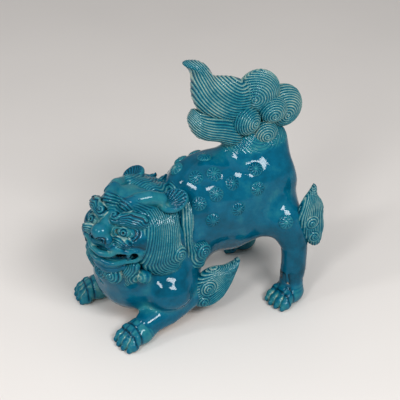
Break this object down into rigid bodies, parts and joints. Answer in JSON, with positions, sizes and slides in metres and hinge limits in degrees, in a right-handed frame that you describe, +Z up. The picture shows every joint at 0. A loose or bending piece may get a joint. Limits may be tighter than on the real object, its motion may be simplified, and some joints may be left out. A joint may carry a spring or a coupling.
{
  "type": "foo dog statue",
  "caption": "Glazed pottery guardian lion in a play bow, chest low and rump high, head turned to its left, curled tail upright; stands on its paws.",
  "frame": {"origin": "middle of the statue's footprint box at the level of the paws' soles", "axes": "+Z up; the torso faces -Y; +X is the animal's left side"},
  "size_m": [0.1742, 0.3002, 0.318],
  "materials": {
    "body_glaze": "gloss turquoise alkaline glaze, paler where thin",
    "limb_glaze": "gloss turquoise alkaline glaze, paler where thin",
    "paw_glaze": "gloss turquoise alkaline glaze, paler where thin",
    "flame_glaze": "gloss turquoise alkaline glaze, paler where thin",
    "tail_glaze": "gloss turquoise alkaline glaze, paler where thin",
    "hair_glaze": "gloss turquoise alkaline glaze, paler where thin",
    "eye_glaze": "gloss turquoise alkaline glaze, paler where thin",
    "tooth_glaze": "gloss turquoise alkaline glaze, paler where thin",
    "rosette_glaze": "gloss turquoise alkaline glaze, paler where thin",
    "head_glaze": "gloss turquoise alkaline glaze, paler where thin"
  },
  "bodies": {
    "root": {"beard_centre_tuft": "hair_glaze", "beard_left_curl": "hair_glaze", "beard_right_curl": "hair_glaze", "head_shell": "head_glaze", "left_brow": "hair_glaze", "left_cheek_mane": "hair_glaze", "left_ear": "head_glaze", "left_elbow_flame": "flame_glaze", "left_eye": "eye_glaze", "left_flank_rosettes": "rosette_glaze", "left_fore_paw": "paw_glaze", "left_forehead_scroll": "head_glaze", "left_foreleg": "limb_glaze", "left_hind_leg": "limb_glaze", "left_hind_paw": "paw_glaze", "left_hock_flame": "flame_glaze", "lower_jaw": "head_glaze", "nape_mane": "hair_glaze", "nose": "head_glaze", "right_brow": "hair_glaze", "right_cheek_mane": "hair_glaze", "right_ear": "head_glaze", "right_elbow_flame": "flame_glaze", "right_eye": "eye_glaze", "right_flank_rosettes": "rosette_glaze", "right_fore_paw": "paw_glaze", "right_forehead_scroll": "head_glaze", "right_foreleg": "limb_glaze", "right_hind_leg": "limb_glaze", "right_hind_paw": "paw_glaze", "right_hock_flame": "flame_glaze", "spine_rosettes": "rosette_glaze", "tail_left_centre_curl": "tail_glaze", "tail_left_front_curl": "tail_glaze", "tail_left_low_curl": "tail_glaze", "tail_lower_plume": "tail_glaze", "tail_rear_curl": "tail_glaze", "tail_right_centre_curl": "tail_glaze", "tail_right_front_curl": "tail_glaze", "tail_right_low_curl": "tail_glaze", "tail_stem": "tail_glaze", "tail_top_curl": "tail_glaze", "tail_upper_plume": "tail_glaze", "torso_left_shell": "body_glaze", "torso_right_shell": "body_glaze", "upper_fangs": "tooth_glaze"}
  },
  "joints": []
}
